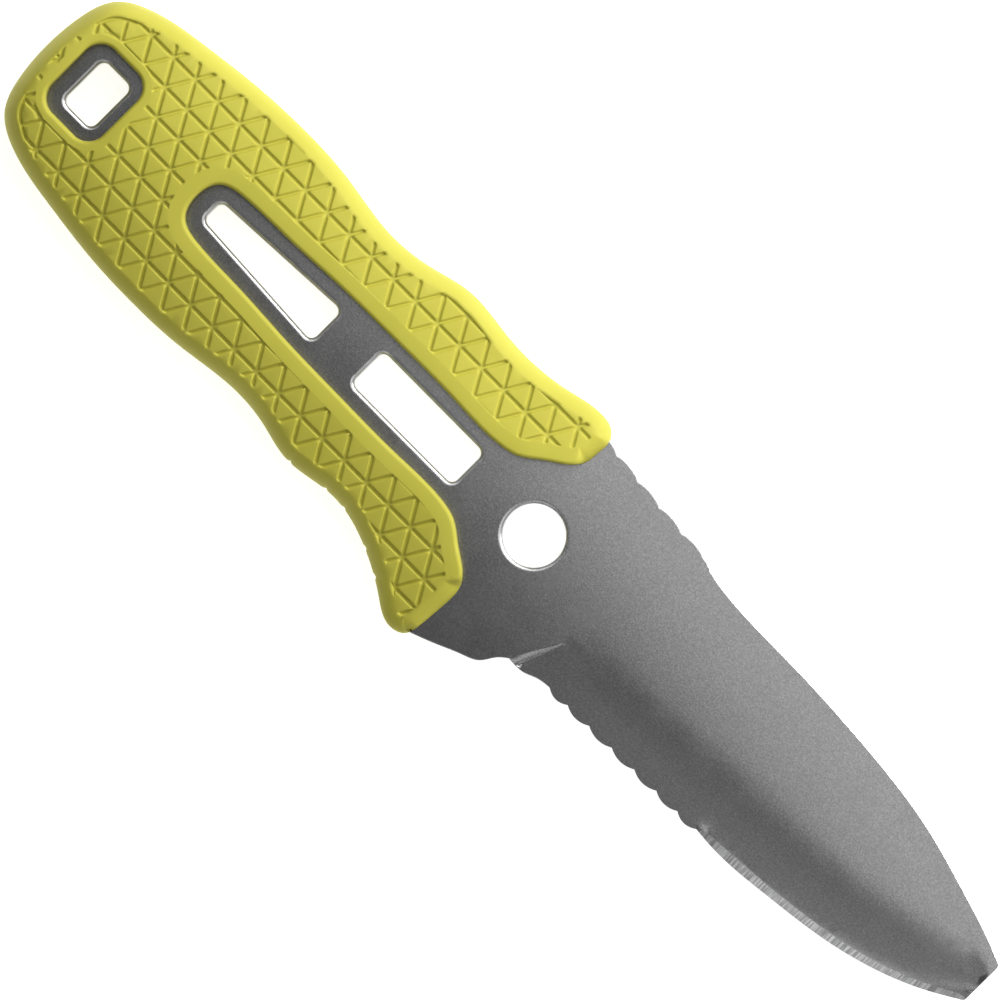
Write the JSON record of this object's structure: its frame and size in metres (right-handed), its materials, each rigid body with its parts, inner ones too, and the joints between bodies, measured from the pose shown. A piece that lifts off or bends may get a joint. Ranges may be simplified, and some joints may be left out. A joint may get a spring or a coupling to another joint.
{
  "type": "rescue knife",
  "caption": "Fixed-blade rescue knife with a blunt tip, part-serrated edge, full tang and a two-sided moulded yellow grip with a lanyard hole.",
  "frame": {"origin": "centre of the round tool hole, in the middle of the steel's thickness", "axes": "+X from the grip to the blunt tip, +Y from the cutting edge to the spine, +Z along the knife's thickness through the tool hole"},
  "size_m": [0.1904, 0.0431, 0.012],
  "materials": {
    "blade_steel": "bead-blasted stainless with bright ground edges",
    "grip_yellow": "satin moulded, triangular grip grooves",
    "pin_steel": "drawn stainless"
  },
  "bodies": {
    "root": {"blade_and_tang": "blade_steel", "grip_shell_right": "grip_yellow", "grip_shell_left": "grip_yellow", "tang_pin_1": "pin_steel", "tang_pin_2": "pin_steel", "tang_pin_3": "pin_steel", "tang_pin_4": "pin_steel", "tang_pin_5": "pin_steel", "tang_pin_6": "pin_steel", "tang_pin_7": "pin_steel", "tang_pin_8": "pin_steel"}
  },
  "joints": []
}
